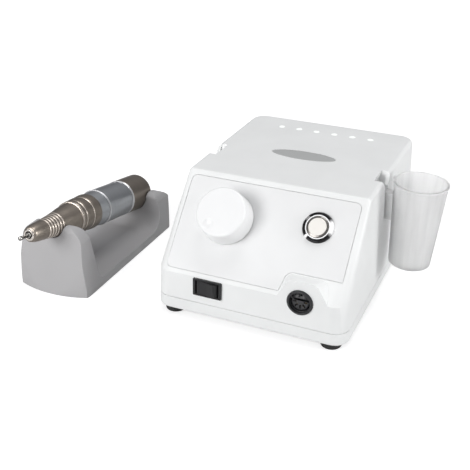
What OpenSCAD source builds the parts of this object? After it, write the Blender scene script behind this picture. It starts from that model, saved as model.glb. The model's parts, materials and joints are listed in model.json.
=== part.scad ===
// Nail drill machine: a control unit with a sloped panel, a bit cup that hooks on its side,
// and a free-standing cradle that holds the motor handpiece. Millimetres, +Z up.
// Front towards -Y, origin under the middle of the whole set's box, on the table.

/* [Control unit] */
// Width of the housing at its lower edge
unit_w = 140; // [124:1:160]
// Depth of the housing at its lower edge
unit_d = 187; // [175:1:210]
// Height of the unit above the table, feet included
unit_h = 91; // [86:0.5:100]
// Height of the front skirt's upper edge above the table
skirt_h = 34; // [32:0.5:38]
// Distance from the front edge back to the top of the sloped panel
slope_run = 51.5; // [46:0.5:58]
// Height of the joint between tray and housing
seam_h = 14.4; // [12:0.2:16]
// Wall of the moulded housing and tray
wall = 2.8; // [2.4:0.1:3.4]
// Radius of the upright corners
corner_r = 11; // [8:0.5:14]
// Radius of the soft upper edges
edge_r = 3; // [2:0.25:4]
// Lean of the side walls, in degrees
side_draft = 2.06; // [1:0.1:3]
// Lean of the front skirt, in degrees
front_draft = 1.36; // [0.5:0.1:2]
// Lean of the back wall, in degrees
back_draft = 3.14; // [1:0.1:4]

/* [Feet and screws] */
// Height of the rubber feet below the tray
foot_h = 5; // [4:0.5:8]
// Radius of a foot
foot_r = 7.8; // [6:0.2:8]
// Distance of the feet from the tray's sides
foot_inset_x = 12; // [11:0.5:18]
// Distance of the feet from the tray's front and back
foot_inset_y = 9.5; // [9:0.5:14]
// Radius of the housing screws' shanks
screw_r = 1.5; // [1.2:0.1:1.8]

/* [Speed knob] */
// Knob's distance in from the left side
knob_inset = 43; // [40:0.5:46]
// Knob's distance up the panel
knob_s = 44.3; // [40:0.5:47]
// Radius of the knob at its base
knob_r = 18.6; // [16:0.2:20]
// Height of the knob above the panel
knob_h = 17; // [14:0.5:20]
// Radius of the potentiometer's shaft
pot_shaft_r = 3; // [2.5:0.5:3]
// Radius of the potentiometer's body
pot_r = 12; // [10:0.5:13]

/* [Power button] */
// Button's distance in from the right side
button_inset = 33.3; // [30:0.1:37]
// Button's distance up the panel
button_s = 50.5; // [46:0.5:53]
// Radius of the button's metal rim
button_r = 10.9; // [10.4:0.1:12]
// Radius of the button's threaded barrel
button_barrel_r = 9.4; // [9:0.1:9.8]
// How far the button travels
button_travel = 2.5; // [1.5:0.25:3]

/* [Rocker switch] */
// Rocker's distance in from the left side
rocker_inset = 41; // [37:0.5:44]
// Height of the rocker's centre above the table
rocker_z = 27.1; // [26:0.1:27.5]
// Width of the switch's frame
rocker_w = 21; // [19:0.5:23]
// Height of the switch's frame
rocker_h = 12.8; // [11:0.2:13]
// Angle of the rocker at each end of its throw
rocker_angle = 11; // [8:0.5:13]

/* [Handpiece socket] */
// Socket's distance in from the right side
socket_inset = 32.5; // [30:0.5:36]
// Height of the socket's centre above the table
socket_z = 32.6; // [30:0.2:34]
// Radius of the socket's flange
socket_r = 9.1; // [8.6:0.1:9.6]
// Radius of the plug's shell opening
socket_bore_r = 7.2; // [6.8:0.1:7.4]
// Depth of the plug's shell opening
socket_bore_l = 7; // [5:0.5:9]

/* [Top face] */
// Length of the bare oval plate
badge_l = 49; // [40:1:56]
// Width of the bare oval plate
badge_w = 16.5; // [12:0.5:20]
// Plate's distance behind the unit's middle
badge_y = 14; // [8:0.5:20]
// Radius of an indicator window
lens_r = 2.5; // [2:0.1:3]
// Pitch of the indicator windows
lens_pitch = 14.65; // [12:0.1:16]
// Windows' distance in from the back edge
lens_inset = 26.7; // [23.5:0.1:33.5]

/* [Bit cup] */
// Radius of the cup's rim
cup_rim_r = 19.6; // [17:0.2:21]
// Radius of the cup at its foot
cup_foot_r = 15; // [13:0.2:16]
// Height of the cup
cup_h = 62.8; // [55:0.5:64]
// Wall of the cup
cup_wall = 1.3; // [1:0.1:1.8]
// Gap between the cup and the unit's side
cup_gap = 4.4; // [3.5:0.1:6]
// Width of the slot that the cup's hook drops into
hook_w = 8; // [7:0.2:9]
// Depth of the hook pocket
hook_d = 7; // [6.4:0.2:8]
// Length of the hook pocket below the unit's top
hook_l = 31; // [28:0.5:36]

/* [Cradle] */
// Width of the cradle at the table
cradle_w = 58; // [54:0.5:64]
// Length of the cradle at the table
cradle_l = 141.5; // [136:0.5:150]
// Height of the front post
front_post_h = 51.5; // [50:0.5:54]
// Height of the rear post
rear_post_h = 34; // [32:0.5:36]
// Height of the waist between the posts
waist_h = 6; // [5:0.5:9]
// Distance between the cradle and the unit
cradle_gap = 52; // [40:1:90]
// How far the cradle's front lies in front of the unit's
cradle_ahead = 12; // [0:0.5:30]

/* [Handpiece] */
// Radius of the motor case
case_r = 14.3; // [13.6:0.1:15]
// Length from nose to rear end, without the bit
handpiece_l = 152.3; // [146:0.5:158]
// Height of the nose's centre above the table
nose_z = 56.2; // [55.6:0.1:57]
// How far the nose stands in front of the cradle
nose_ahead = 17.4; // [14:0.2:20]
// Fall of the handpiece towards its rear, in degrees
handpiece_fall = 10.2; // [9.5:0.1:10.8]
// Radius of the bit's shank
bit_r = 1.17; // [1.17:0.01:1.2]
// How far the bit stands out of the nose
bit_out = 10.3; // [8:0.1:20]

/* [Hidden] */

$fn = 64;
// Facets round a child of a hull
hull_fn = 32;
// Overrun of every cut
over = 1;
// Running clearance on a radius
run = 0.05;
// Clearance between neighbouring pieces
gap = 0.3;

// Places of the controls across the unit
knob_x = unit_w / 2 - knob_inset;
button_x = unit_w / 2 - button_inset;
rocker_x = unit_w / 2 - rocker_inset;
socket_x = unit_w / 2 - socket_inset;
lens_y = unit_d / 2 - lens_inset;

// Openings at the back
gland_x = 38;
gland_z = 34;
gland_r = 6;
gland_bore_r = 3.3;
gland_flange = 3;
gland_in = 9;
jack_x = 8;
jack_z = 34;
jack_r = 5.5;
jack_bore_r = 3.2;
jack_l = 22;
jack_body_w = 14;

// Places of the unit, the cradle and the handpiece in the set
set_left = -unit_w / 2 - cradle_gap - cradle_w;
cup_lean = atan((cup_rim_r - cup_foot_r) / cup_h) - side_draft;
cup_top_x = unit_w / 2 - (unit_h - foot_h) * tan(side_draft) + cup_gap + cup_rim_r;
set_front = -unit_d / 2 - cradle_ahead - nose_ahead - bit_out * cos(handpiece_fall);
set_back = unit_d / 2 - (gland_z - foot_h) * tan(back_draft) + gland_flange;
unit_x = -(set_left + cup_top_x + cup_rim_r * cos(cup_lean)) / 2;
unit_y = -(set_front + set_back) / 2;
cradle_x = unit_x - unit_w / 2 - cradle_gap - cradle_w / 2;
cradle_y = unit_y - unit_d / 2 - cradle_ahead;

// Faces of the housing
function side_at(z) = unit_w / 2 - (z - foot_h) * tan(side_draft);
function front_at(z) = -unit_d / 2 + (z - foot_h) * tan(front_draft);
function back_at(z) = unit_d / 2 - (z - foot_h) * tan(back_draft);
slope_y = -unit_d / 2 + slope_run;
slope_lean = atan2(slope_y - front_at(skirt_h), unit_h - skirt_h);
slope_l = norm([slope_y - front_at(skirt_h), unit_h - skirt_h]);
// Inward shift of an edge between two faces that lean a and b, both moved in by w
function edge_in(a, b, w) = w * [sin(b) - sin(a), cos(b) - cos(a)] / sin(b - a);

// Moves to the panel, the skirt and the back wall, with local +Z out of the face
module on_panel(x, s) {
    translate([unit_x + x, unit_y + front_at(skirt_h) + s * sin(slope_lean), skirt_h + s * cos(slope_lean)])
        rotate([90 - slope_lean, 0, 0]) children();
}
module on_skirt(x, z) {
    translate([unit_x + x, unit_y + front_at(z), z]) rotate([90 - front_draft, 0, 0]) children();
}
module on_back(x, z) {
    translate([unit_x + x, unit_y + back_at(z), z]) rotate([-90 + back_draft, 0, 0]) children();
}
module in_unit() {
    translate([unit_x, unit_y, 0]) children();
}
module both_sides() {
    children();
    mirror([1, 0, 0]) children();
}

// Simple solids
module tube(r, bore, l) {
    difference() {
        cylinder(r = r, h = l);
        translate([0, 0, -over]) cylinder(r = bore, h = l + 2 * over);
    }
}
module slab(w, d, h) {
    translate([-w / 2, -d / 2, 0]) cube([w, d, h]);
}
module hexagon(across, h) {
    cylinder(r = across / 2 / cos(30), h = h, $fn = 6);
}
module rounded_rect(w, d, r) {
    translate([-w / 2 + r, -d / 2]) square([w - 2 * r, d]);
    translate([-w / 2, -d / 2 + r]) square([w, d - 2 * r]);
    for (sx = [-1, 1], sy = [-1, 1])
        translate([sx * (w / 2 - r), sy * (d / 2 - r)]) circle(r = r);
}

// One upright corner of the housing at a height
module corner_at(z, y, inset, r, h) {
    translate([side_at(z) - inset - r, y, z]) cylinder(r = r, h = h, $fn = hull_fn);
}
// The upper housing's form, moved in by a wall
module housing_form(inset, floor_z) {
    skin = 0.01 * wall;
    r = corner_r - inset;
    e = inset > 0 ? edge_r / 2 : edge_r;
    skirt_in = edge_in(front_draft, slope_lean, inset);
    top_in = edge_in(slope_lean, 90, inset);
    skirt_z = skirt_h + skirt_in[1];
    top_z = unit_h - inset;
    hull() both_sides() {
        for (z = [floor_z, skirt_z - skin])
            corner_at(z, front_at(z) + inset + r, inset, r, skin);
        for (z = [floor_z, top_z - e - skin])
            corner_at(z, back_at(z) - inset - r, inset, r, skin);
        translate([side_at(unit_h) - inset - e, slope_y + top_in[0] + e * tan(45 - slope_lean / 2),
            top_z - e])
            sphere(r = e, $fn = hull_fn);
        translate([side_at(unit_h) - inset - r, back_at(unit_h) - inset - r, top_z - e])
            rotate_extrude($fn = hull_fn) {
                translate([r - e, 0]) intersection() {
                    circle(r = e, $fn = hull_fn);
                    square(e);
                }
                square([r - e, e]);
            }
    }
}

// Sizes of the raised seat round the handpiece socket
arch_left = 16.5;
arch_right = 19;
arch_foot = 3;
arch_top = 13.4;
arch_r = 5;
arch_back = 16.4;
// Raised seat: an upright face in line with the skirt, with sloping sides
module socket_seat(inset) {
    thin = 0.01 * wall;
    low = skirt_h - wall;
    deep = inset > 0 ? 3 * wall : wall;
    sunk = inset > 0 ? gap : 0;
    hull() {
        on_skirt(socket_x, low) translate([-arch_left + arch_foot + inset, 0, sunk - inset])
            linear_extrude(height = thin) square([arch_left + arch_right - 2 * arch_foot - 2 * inset, thin]);
        for (side = [-1, 1])
            on_skirt(socket_x, skirt_h + arch_top - arch_r - inset)
                translate([side * ((arch_left + arch_right) / 2 - 2 * arch_foot - arch_r - inset)
                    + (arch_right - arch_left) / 2, 0, sunk - inset - thin])
                    cylinder(r = arch_r, h = thin, $fn = hull_fn);
        for (side = [-1, 1])
            on_panel(socket_x + (arch_right - arch_left) / 2
                + side * ((arch_left + arch_right) / 2 - arch_r - arch_foot - inset),
                arch_back - arch_r - inset)
                translate([0, 0, -deep]) cylinder(r = arch_r, h = deep - inset - sunk, $fn = hull_fn);
        on_panel(socket_x, inset) translate([-arch_left + inset, 0, -deep])
            cube([arch_left + arch_right - 2 * inset, thin, deep - inset - sunk]);
    }
}

// Control panel outline on the slope, clear of the seat
panel_t = 1;
panel_side = 5;
panel_top = 4.2;
panel_foot = 3.4;
panel_r = 4;
panel_step = 1;
module panel_outline(grow) {
    w = 2 * (side_at(unit_h) - panel_side);
    l = slope_l - panel_top - panel_foot;
    c = panel_step - grow;
    difference() {
        translate([0, panel_foot + l / 2]) rounded_rect(w + 2 * grow, l + 2 * grow, panel_r + grow);
        translate([socket_x - arch_left + arch_foot + arch_r, arch_back - arch_r]) circle(r = arch_r + c);
        translate([socket_x, 0])
            polygon([[-arch_left - c, -over], [-arch_left + arch_foot - c, arch_back - arch_r],
                [-arch_left + arch_foot + arch_r, arch_back - arch_r],
                [-arch_left + arch_foot + arch_r, arch_back + c],
                [unit_w, arch_back + c], [unit_w, -over]]);
    }
}

// Hook pockets in the side walls
hook_lip = 2.4;
hook_flare = 22;
hook_flare_h = 8;
hook_undercut = 3;
hook_floor = unit_h - hook_l;
module hook_cut(w, deep_from, deep_to) {
    translate([deep_from, 0, 0]) rotate([90, 0, 90]) linear_extrude(height = deep_to - deep_from)
        polygon([[-w / 2, hook_floor], [w / 2, hook_floor], [w / 2, unit_h - hook_flare_h],
            [hook_flare / 2, unit_h + over], [-hook_flare / 2, unit_h + over],
                [-w / 2, unit_h - hook_flare_h]]);
}
function hook_wide() = hook_w + 2 * hook_undercut;
hook_face = side_at(unit_h);
hook_back = hook_face - hook_d;

// Fixings inside the unit
boss_r = 4.2;
boss_inset_x = 13;
boss_inset_y = 30;
board_post_r = 3;
board_post_h = 6;
lip_t = 1.2;
inner_w = unit_w - 2 * (wall + lip_t + 3 * gap);
board_w_share = 0.45;
board_w = board_w_share * inner_w;
board_d = 76;
board_t = 1.6;
board_screw_r = 1.2;
board_edge = 4;
board_x = inner_w / 2 - board_w / 2 - board_edge;
board_inset = 75.5;
board_y = unit_d / 2 - board_inset;
core_w_share = 0.33;
core_w = core_w_share * inner_w;
core_d = 42;
core_h = 44;
core_tab = 8;
core_x = -(inner_w / 2 - core_w / 2 - core_tab);
core_inset = 49.5;
core_y = unit_d / 2 - core_inset;
core_foot = 3;
floor_z = foot_h + wall;
lens_board_drop = 7;
lens_count = 6;
lens_board_d = 14;
lens_post_x = (lens_count - 1) / 2 * lens_pitch + lens_r * 1.2 + board_post_r + gap;
lens_board_w = 2 * (lens_post_x + board_edge);
top_under = unit_h - wall;
module at_bosses() {
    for (sx = [-1, 1], sy = [-1, 1])
        translate([sx * (unit_w / 2 - boss_inset_x), sy * (unit_d / 2 - boss_inset_y), 0]) children();
}
module at_board_posts() {
    for (sx = [-1, 1], sy = [-1, 1])
        translate([board_x + sx * (board_w / 2 - board_edge), board_y + sy * (board_d / 2 - board_edge), 0])
            children();
}

// Outer shell of the unit, moulded in one piece
module upper_housing() {
    color("white") difference() {
        difference() {
            union() {
                in_unit() housing_form(0, seam_h);
                socket_seat(0);
            }
            socket_seat(wall);
            difference() {
                in_unit() housing_form(wall, seam_h - over);
                in_unit() both_sides()
                    translate([hook_back - wall, -hook_flare / 2 - wall, hook_floor - wall])
                    cube([unit_w, hook_flare + 2 * wall, unit_h]);
                in_unit() at_bosses() translate([0, 0, seam_h]) cylinder(r = boss_r, h = unit_h);
                in_unit() for (sx = [-1, 1])
                    translate([sx * lens_post_x, lens_y, top_under - lens_board_drop])
                    cylinder(r = board_post_r, h = unit_h);
            }
        }
        on_panel(0, 0) translate([0, 0, -panel_t]) linear_extrude(height = panel_t + over) panel_outline(gap);
        on_panel(-knob_x, knob_s) translate([0, 0, -unit_h / 2]) cylinder(r = pot_bush_r + run, h = unit_h);
        on_panel(button_x, button_s) translate([0, 0, -unit_h / 4])
            cylinder(r = button_barrel_r + run, h = unit_h / 2);
        on_skirt(-rocker_x, rocker_z) translate([0, 0, -2 * wall])
            slab(rocker_w - 2 * rocker_rim, rocker_h - 2 * rocker_rim, 3 * wall);
        on_skirt(socket_x, socket_z) translate([0, 0, -unit_h / 4])
            cylinder(r = socket_barrel_r + run, h = unit_h / 2);
        on_back(gland_x, gland_z) translate([0, 0, -2 * wall]) cylinder(r = gland_r + run, h = 3 * wall);
        on_back(-jack_x, jack_z) translate([0, 0, -2 * wall]) cylinder(r = jack_r + run, h = 3 * wall);
        in_unit() {
            both_sides() {
                hook_cut(hook_w, hook_face - hook_lip - over, unit_w);
                hook_cut(hook_wide(), hook_back, hook_face - hook_lip);
            }
            at_bosses() translate([0, 0, seam_h - over]) cylinder(r = screw_r, h = screw_l - floor_z + over);
            for (i = [0:lens_count - 1])
                translate([(i - (lens_count - 1) / 2) * lens_pitch, lens_y, top_under - over])
                cylinder(r = lens_r + run, h = wall + 2 * over);
            for (sx = [-1, 1]) translate([sx * lens_post_x, lens_y, top_under - lens_board_drop - over])
                cylinder(r = board_screw_r, h = lens_board_drop);
            translate([0, badge_y, unit_h - badge_t]) scale([badge_l / 2 + gap, badge_w / 2 + gap, 1])
                cylinder(r = 1, h = over + badge_t);
        }
    }
}

// Tray that closes the unit from below
lip_h = 2.4;
seam_groove = 0.5;
screw_l = 26;
screw_head_r = 3;
screw_head_h = 2.2;
vent_w = 3;
vent_l = 40;
vent_count = 6;
vent_pitch = 7;
module tray_form(inset, z0, z1, soft) {
    thin = wall / 10;
    r = corner_r - inset;
    hull() both_sides() for (z = soft > 0 ? [z0, z0 + soft, z1 - thin] : [z0, z1 - thin]) {
        round_off = z == z0 ? soft : 0;
        corner_at(z, front_at(z) + inset + r, inset + round_off, r - round_off, thin);
        corner_at(z, back_at(z) - inset - r, inset + round_off, r - round_off, thin);
    }
}
module base_tray() {
    soft = edge_r * 0.3;
    color("white") in_unit() difference() {
        union() {
            difference() {
                union() {
                    tray_form(0, foot_h, seam_h - seam_groove, soft);
                    tray_form(wall / 3, floor_z, seam_h, 0);
                    tray_form(wall + gap, floor_z, seam_h + lip_h, 0);
                }
                tray_form(wall + gap + lip_t, floor_z, seam_h + lip_h + over, 0);
            }
            at_bosses() translate([0, 0, foot_h]) cylinder(r = boss_r, h = seam_h - foot_h);
            at_board_posts() translate([0, 0, floor_z]) cylinder(r = board_post_r, h = board_post_h);
        }
        at_bosses() translate([0, 0, foot_h - over]) {
            cylinder(r = screw_r + gap, h = seam_h + over);
            cylinder(r = screw_head_r + gap, h = screw_head_h + over);
        }
        at_board_posts() translate([0, 0, floor_z]) cylinder(r = board_screw_r, h = board_post_h + over);
        for (i = [0:vent_count - 1]) translate([(i - (vent_count - 1) / 2) * vent_pitch, -unit_d / 4, 0])
            slab(vent_w, vent_l, unit_h / 4);
        for (sx = [-1, 1]) translate([core_x + sx * (core_w / 2 + core_tab / 2), core_y, 0])
            cylinder(r = screw_r, h = seam_h);
    }
}

// Flat inset that covers the slope, with the controls' holes
module control_panel() {
    color("white") difference() {
        on_panel(0, 0) translate([0, 0, -panel_t]) linear_extrude(height = panel_t) panel_outline(0);
        on_panel(-knob_x, knob_s) translate([0, 0, -wall]) cylinder(r = pot_bush_r + run, h = 2 * wall);
        on_panel(button_x, button_s) translate([0, 0, -wall])
            cylinder(r = button_barrel_r + run, h = 2 * wall);
    }
}

// Rubber feet pressed against the tray
module rubber_feet() {
    soft = foot_h / 6;
    color("black") in_unit() for (sx = [-1, 1], sy = [-1, 1])
        translate([sx * (unit_w / 2 - foot_inset_x), sy * (unit_d / 2 - foot_inset_y), 0]) rotate_extrude()
            polygon([[0, 0], [foot_r - 1.5 * soft, 0], [foot_r - 0.7 * soft, 0.8 * soft], [foot_r, foot_h],
                [0, foot_h]]);
}

// Screws that hold tray and housing together
module housing_screws() {
    color("silver") in_unit() at_bosses() translate([0, 0, foot_h]) {
        cylinder(r = screw_head_r, h = screw_head_h);
        cylinder(r = screw_r, h = screw_l - foot_h - wall);
    }
}

// Bare oval plate let into the top
badge_t = 0.8;
module badge_plate() {
    color("lightgray") in_unit() translate([0, badge_y, unit_h - badge_t])
        scale([badge_l / 2, badge_w / 2, 1]) cylinder(r = 1, h = badge_t);
}

// Row of indicator windows with their board and lamps
led_r = 1.5;
led_h = 4.4;
module at_lenses() {
    in_unit() for (i = [0:lens_count - 1])
        translate([(i - (lens_count - 1) / 2) * lens_pitch, lens_y, 0]) children();
}
module indicator_lenses() {
    color("whitesmoke") at_lenses() {
        translate([0, 0, top_under]) cylinder(r = lens_r, h = wall);
        translate([0, 0, top_under - lens_r / 3]) cylinder(r = lens_r * 1.2, h = lens_r / 3);
    }
}
module indicator_board() {
    color("green") in_unit() difference() {
        translate([0, lens_y, top_under - lens_board_drop - board_t])
            slab(lens_board_w, lens_board_d, board_t);
        for (sx = [-1, 1]) translate([sx * lens_post_x, lens_y, top_under - lens_board_drop - 2 * board_t])
            cylinder(r = board_screw_r + run, h = 3 * board_t);
    }
}
module indicator_leds() {
    color("lightyellow") at_lenses() translate([0, 0, top_under - lens_board_drop]) {
        cylinder(r = led_r, h = led_h - led_r);
        translate([0, 0, led_h - led_r]) sphere(r = led_r);
    }
}
module indicator_screws() {
    color("silver") in_unit() for (sx = [-1, 1])
        translate([sx * lens_post_x, lens_y, top_under - lens_board_drop - board_t]) {
            translate([0, 0, -board_t]) cylinder(r = 2 * board_screw_r, h = board_t);
            cylinder(r = board_screw_r, h = board_t + lens_board_drop / 2);
        }
}

// Speed knob, hollow below, with a finger dimple as its pointer
pot_bush_r = 4.5;
pot_bush_l = 6.5;
pot_body_l = 9;
pot_nut = 13;
pot_nut_t = 2.4;
knob_lift = 0.8;
knob_taper = 0.8;
knob_soft = 1.6;
knob_wall = 2.2;
knob_hub_r = 5.4;
dimple_r = 3.8;
dimple_depth = 1.2;
dimple_at = 11.9;
dimple_turn = 235.5;
module speed_knob() {
    r_top = knob_r - knob_taper;
    ball_r = (dimple_r * dimple_r + dimple_depth * dimple_depth) / 2 / dimple_depth;
    color("white") on_panel(-knob_x, knob_s) difference() {
        union() {
            rotate_extrude() {
                polygon([[0, knob_lift], [knob_r, knob_lift], [r_top, knob_h - knob_soft],
                    [r_top - knob_soft, knob_h - knob_soft], [r_top - knob_soft, knob_h], [0, knob_h]]);
                translate([r_top - knob_soft, knob_h - knob_soft]) circle(r = knob_soft);
            }
        }
        translate([0, 0, knob_lift - over]) difference() {
            cylinder(r = knob_r - knob_wall, h = knob_h - knob_lift - knob_wall + over);
            translate([0, 0, pot_nut_t + gap + over]) cylinder(r = knob_hub_r, h = knob_h);
        }
        cylinder(r = pot_shaft_r, h = knob_h - knob_wall);
        rotate([0, 0, dimple_turn]) translate([dimple_at, 0, knob_h - dimple_depth + ball_r])
            sphere(r = ball_r);
    }
}
module potentiometer() {
    under = -wall - gap;
    color("dimgray") on_panel(-knob_x, knob_s) difference() {
        union() {
            translate([0, 0, -wall]) cylinder(r = pot_bush_r, h = wall + pot_nut_t);
            translate([0, 0, -wall - pot_body_l]) cylinder(r = pot_r, h = pot_body_l);
            for (i = [-1, 0, 1]) translate([i * pot_r / 3, -pot_r - pot_r / 4, -wall - pot_body_l])
                slab(pot_r / 8, pot_r, pot_r / 12);
        }
        translate([0, 0, -wall - pot_body_l / 2]) cylinder(r = pot_shaft_r + run, h = unit_h);
    }
}
module potentiometer_shaft() {
    color("silver") on_panel(-knob_x, knob_s) translate([0, 0, -wall - pot_body_l / 2 + gap])
        cylinder(r = pot_shaft_r, h = wall + pot_body_l / 2 - gap + knob_h - knob_wall);
}
module potentiometer_nut() {
    color("silver") on_panel(-knob_x, knob_s) difference() {
        hexagon(pot_nut, pot_nut_t);
        translate([0, 0, -over]) cylinder(r = pot_bush_r, h = pot_nut_t + 2 * over);
    }
}

// Round metal push button with a lit ring
button_rim_h = 2.2;
button_barrel_l = 20;
ring_r = 8.45;
ring_t = 0.6;
plunger_deep = 4;
cap_r = 6.2;
cap_rise = 0.7;
button_nut_across = 24;
button_nut_t = 4;
switch_l = 9;
switch_r = 8.4;
module button_bezel() {
    chamfer = button_rim_h / 3;
    well = plunger_deep + button_travel + gap;
    color("silver") on_panel(button_x, button_s) difference() {
        rotate_extrude() polygon([[0, -button_barrel_l], [button_barrel_r, -button_barrel_l],
            [button_barrel_r, 0], [button_r, 0], [button_r, button_rim_h - 2 * chamfer],
            [button_r - chamfer, button_rim_h], [0, button_rim_h]]);
        translate([0, 0, -well]) cylinder(r = ring_r, h = well + button_rim_h + over);
    }
}
module button_light_ring() {
    well = plunger_deep + button_travel + gap;
    color("white") on_panel(button_x, button_s) translate([0, 0, -well])
        tube(ring_r, ring_r - ring_t, well + button_rim_h - gap / 2);
}
module button_plunger() {
    r = ring_r - ring_t - run;
    color("dimgray") on_panel(button_x, button_s) difference() {
        rotate_extrude() polygon([[0, -plunger_deep], [r, -plunger_deep], [r, button_rim_h - gap],
            [cap_r + run, button_rim_h + cap_rise / 2], [0, button_rim_h + cap_rise / 2]]);
        cylinder(r = cap_r, h = button_rim_h + over);
    }
}
module button_cap() {
    color("linen") on_panel(button_x, button_s) rotate_extrude()
        polygon([[0, 0], [cap_r, 0], [cap_r, button_rim_h + cap_rise / 2],
            [cap_r - cap_rise / 2, button_rim_h + cap_rise], [0, button_rim_h + cap_rise]]);
}
module button_nut() {
    color("silver") on_panel(button_x, button_s) translate([0, 0, -wall - button_nut_t]) difference() {
        hexagon(button_nut_across, button_nut_t);
        translate([0, 0, -over]) cylinder(r = button_barrel_r, h = button_nut_t + 2 * over);
    }
}
module button_switch() {
    color("black") on_panel(button_x, button_s) translate([0, 0, -button_barrel_l - switch_l]) {
        cylinder(r = switch_r, h = switch_l);
        for (a = [0:90:270]) rotate([0, 0, a]) translate([switch_r / 2, 0, -switch_l / 2])
            slab(switch_r / 10, switch_r / 4, switch_l);
    }
}

// Rocker switch with its pivot across the frame
rocker_rim = 1.1;
rocker_proud = 1.4;
rocker_deep = 14;
rocker_pivot = 2.5;
rocker_face = 1.6;
rocker_pin_r = 1.2;
rocker_side = 0.4;
rocker_well = 7;
rocker_half = rocker_w / 2 - rocker_rim - 0.1 * rocker_rim;
rocker_tall = rocker_h - 2 * rocker_rim - 2 * rocker_side;
module rocker_frame() {
    color("black") on_skirt(-rocker_x, rocker_z) difference() {
        union() {
            linear_extrude(height = rocker_proud) rounded_rect(rocker_w, rocker_h, rocker_rim / 2);
            translate([0, 0, -rocker_deep])
                slab(rocker_w - 2 * rocker_rim - gap, rocker_h - 2 * rocker_rim - gap / 2, rocker_deep);
        }
        translate([0, 0, -rocker_pivot]) rotate([90, 0, 0]) translate([0, 0, -rocker_tall / 2 - gap])
            cylinder(r = rocker_half - rocker_rim / 2, h = rocker_tall + 2 * gap);
        translate([0, 0, -rocker_pivot])
            slab(2 * (rocker_half - rocker_rim / 2), rocker_tall + 2 * gap, unit_h);
        translate([0, 0, -rocker_pivot]) rotate([90, 0, 0]) translate([0, 0, -rocker_h / 2 + rocker_rim])
            cylinder(r = rocker_pin_r + run, h = rocker_h - 2 * rocker_rim);
    }
}
module rocker() {
    r = rocker_half - rocker_rim / 2 - gap;
    rise = r * tan(rocker_angle);
    color("black") on_skirt(-rocker_x, rocker_z) translate([0, 0, -rocker_pivot])
        rotate([0, -rocker_angle, 0]) {
        rotate([90, 0, 0]) translate([0, 0, -rocker_tall / 2]) linear_extrude(height = rocker_tall)
            intersection() {
            circle(r = r);
            polygon([[-r, -r / 3], [r, -r / 3], [r, rocker_pivot + rocker_face + rise],
                [0, rocker_pivot + rocker_face], [-r, rocker_pivot + rocker_face + rise]]);
        }
        rotate([90, 0, 0]) translate([0, 0, -rocker_h / 2 + rocker_rim + gap])
            cylinder(r = rocker_pin_r, h = rocker_h - 2 * rocker_rim - 2 * gap);
    }
}
module rocker_terminals() {
    blade_t = rocker_rim * 0.7;
    color("gold") on_skirt(-rocker_x, rocker_z) for (i = [-1, 0, 1])
        translate([i * rocker_w / 4, 0, -rocker_deep - rocker_well]) slab(blade_t, rocker_h / 3, rocker_well);
}

// Round five-contact socket for the handpiece's lead
socket_barrel_r = 8.1;
socket_barrel_l = 13;
socket_flange_t = 1.5;
insert_r = 6;
insert_drop = 2;
contact_ring_r = 3.7;
contact_r = 0.75;
contact_count = 5;
slit_w = 1;
slit_l = 2.6;
key_w = 2.4;
socket_nut_across = 20;
socket_nut_t = 2.6;
module socket_shell() {
    color("dimgray") on_skirt(socket_x, socket_z) difference() {
        rotate_extrude() polygon([[0, -socket_barrel_l], [socket_barrel_r, -socket_barrel_l],
            [socket_barrel_r, 0], [socket_r, 0], [socket_r, socket_flange_t / 2],
            [socket_r - socket_flange_t / 2, socket_flange_t], [0, socket_flange_t]]);
        translate([0, 0, socket_flange_t - insert_drop]) cylinder(r = socket_bore_r, h = insert_drop + over);
        translate([0, 0, socket_flange_t - socket_bore_l])
            cylinder(r = socket_bore_r - gap, h = socket_bore_l - insert_drop + over);
        translate([0, 0, -socket_barrel_l - over])
            cylinder(r = socket_bore_r - wall / 4, h = socket_barrel_l);
    }
}
module at_contacts() {
    for (i = [0:contact_count - 1]) rotate([0, 0, 180 + i * 180 / (contact_count - 1)])
        translate([contact_ring_r, 0, 0]) children();
}
module socket_insert() {
    r = socket_bore_r - wall / 4;
    color("black") on_skirt(socket_x, socket_z) difference() {
        union() {
            translate([0, 0, -socket_barrel_l])
                cylinder(r = r, h = socket_barrel_l + socket_flange_t - socket_bore_l);
            translate([0, 0, -socket_barrel_l])
                cylinder(r = insert_r, h = socket_barrel_l + socket_flange_t - insert_drop - gap);
        }
        at_contacts() translate([0, 0, -socket_barrel_l / 2]) slab(slit_l, slit_w, socket_barrel_l);
        at_contacts() translate([0, 0, -socket_barrel_l - over]) cylinder(r = contact_r, h = socket_barrel_l);
        translate([0, insert_r, socket_flange_t - socket_bore_l]) slab(key_w, 2 * key_w, socket_bore_l);
    }
}
module socket_contacts() {
    color("gold") on_skirt(socket_x, socket_z) at_contacts()
        translate([0, 0, -socket_barrel_l - contact_ring_r])
        cylinder(r = contact_r, h = socket_barrel_l + contact_ring_r - slit_l);
}
module socket_nut() {
    color("silver") on_skirt(socket_x, socket_z) translate([0, 0, -wall - socket_nut_t]) difference() {
        hexagon(socket_nut_across, socket_nut_t);
        translate([0, 0, -over]) cylinder(r = socket_barrel_r, h = socket_nut_t + 2 * over);
    }
}

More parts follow.
